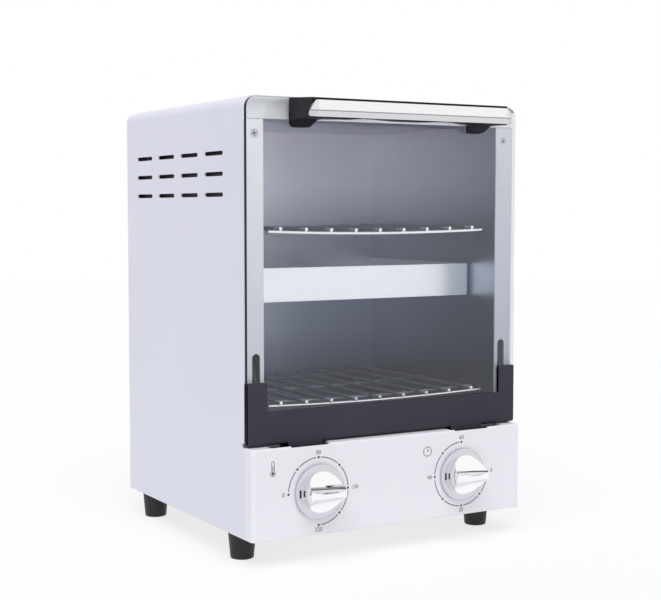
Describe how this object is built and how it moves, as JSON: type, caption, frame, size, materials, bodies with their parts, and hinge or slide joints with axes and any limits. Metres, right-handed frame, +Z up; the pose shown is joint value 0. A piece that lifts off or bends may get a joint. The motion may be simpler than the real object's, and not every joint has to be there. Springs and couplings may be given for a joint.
{
  "type": "dry heat sterilizer",
  "caption": "Small bench oven for sterilizing instruments: glass drop-down door with a bow handle, two dials below it, wire racks inside and rubber feet.",
  "frame": {"origin": "middle of the whole object's box, on the surface that its feet stand on", "axes": "+Z up, -Y towards the viewer in front of the door and knobs, +X to that viewer's right"},
  "size_m": [0.256, 0.2816, 0.362],
  "materials": {
    "shell_paint": "satin",
    "panel_white": "satin",
    "strip_paint": "satin",
    "zinc_steel": "satin",
    "liner_steel": "satin",
    "shield_steel": "satin",
    "heater_tube": "matte",
    "spring_steel": "satin",
    "screw_steel": "satin",
    "trim_paint": "satin",
    "handle_plastic": "matte",
    "bar_chrome": "polished",
    "knob_chrome": "polished",
    "rack_chrome": "polished",
    "pointer_black": "matte",
    "door_glass": "tinted",
    "black_plastic": "matte",
    "block_plastic": "matte",
    "foot_rubber": "matte",
    "bush_ceramic": "matte",
    "insulation_wool": "matte",
    "bulb_copper": "satin",
    "bell_brass": "polished"
  },
  "bodies": {
    "casing": {"outer_shell": "shell_paint", "base_plate": "zinc_steel", "back_cover": "shell_paint", "back_screws": "screw_steel", "control_panel": "panel_white", "bulkhead": "zinc_steel", "panel_screws": "screw_steel", "hinge_lug_left": "shell_paint", "hinge_lug_right": "shell_paint", "hinge_springs": "spring_steel", "frame_strip_left": "strip_paint", "frame_strip_right": "strip_paint", "frame_screws": "screw_steel", "chamber_liner": "liner_steel", "chamber_back": "liner_steel", "upper_rail_left": "liner_steel", "upper_rail_right": "liner_steel", "lower_rail_left": "liner_steel", "lower_rail_right": "liner_steel", "heater_shield": "shield_steel", "middle_heater": "heater_tube", "lower_heater": "heater_tube", "heater_bushes": "bush_ceramic", "heater_rests": "bush_ceramic", "deck": "zinc_steel", "chamber_pillars": "bush_ceramic", "insulation_back": "insulation_wool", "insulation_top": "insulation_wool", "thermostat": "black_plastic", "thermostat_bulb": "bulb_copper", "bulb_clips": "zinc_steel", "timer_body": "black_plastic", "timer_bell": "bell_brass", "control_nuts": "screw_steel", "terminal_block": "block_plastic", "cord_gland": "black_plastic", "foot_front_left": "foot_rubber", "foot_back_left": "foot_rubber", "foot_front_right": "foot_rubber", "foot_back_right": "foot_rubber", "foot_screws": "screw_steel"},
    "door": {"door_glass": "door_glass", "door_trim": "trim_paint", "hinge_rail": "trim_paint", "hinge_pin_left": "spring_steel", "hinge_pin_right": "spring_steel", "door_arm_left": "zinc_steel", "door_arm_right": "zinc_steel", "handle_grip": "handle_plastic", "handle_bar": "bar_chrome", "handle_screws": "screw_steel"},
    "temperature_control": {"temperature_knob": "knob_chrome", "temperature_pointer": "pointer_black", "temperature_shaft": "spring_steel"},
    "timer_control": {"timer_knob": "knob_chrome", "timer_pointer": "pointer_black", "timer_shaft": "spring_steel"},
    "upper_rack": {"upper_rack": "rack_chrome"},
    "lower_rack": {"lower_rack": "rack_chrome"}
  },
  "joints": [
    {"name": "door_hinge", "type": "hinge", "parent": "casing", "child": "door", "pos_m": [0, -0.09815, 0.0993], "axis": [1, 0, 0], "range_deg": [0, 90], "stiffness_Nm_per_rad": 0.3, "springref_deg": -57.3},
    {"name": "temperature_turn", "type": "hinge", "parent": "casing", "child": "temperature_control", "pos_m": [-0.07, -0.11085, 0.0563], "axis": [0, 1, 0], "range_deg": [0, 270]},
    {"name": "timer_turn", "type": "hinge", "parent": "casing", "child": "timer_control", "pos_m": [0.067, -0.11085, 0.0563], "axis": [0, 1, 0], "range_deg": [0, 270]},
    {"name": "upper_rack_slide", "type": "slide", "parent": "casing", "child": "upper_rack", "axis": [0, -1, 0], "range_m": [0, 0.0786]},
    {"name": "lower_rack_slide", "type": "slide", "parent": "casing", "child": "lower_rack", "axis": [0, -1, 0], "range_m": [0, 0.0472]}
  ],
  "couplings": [
    {"joint": "upper_rack_slide", "follows": "door_hinge", "m_per_rad": 0.05},
    {"joint": "lower_rack_slide", "follows": "door_hinge", "m_per_rad": 0.03}
  ]
}
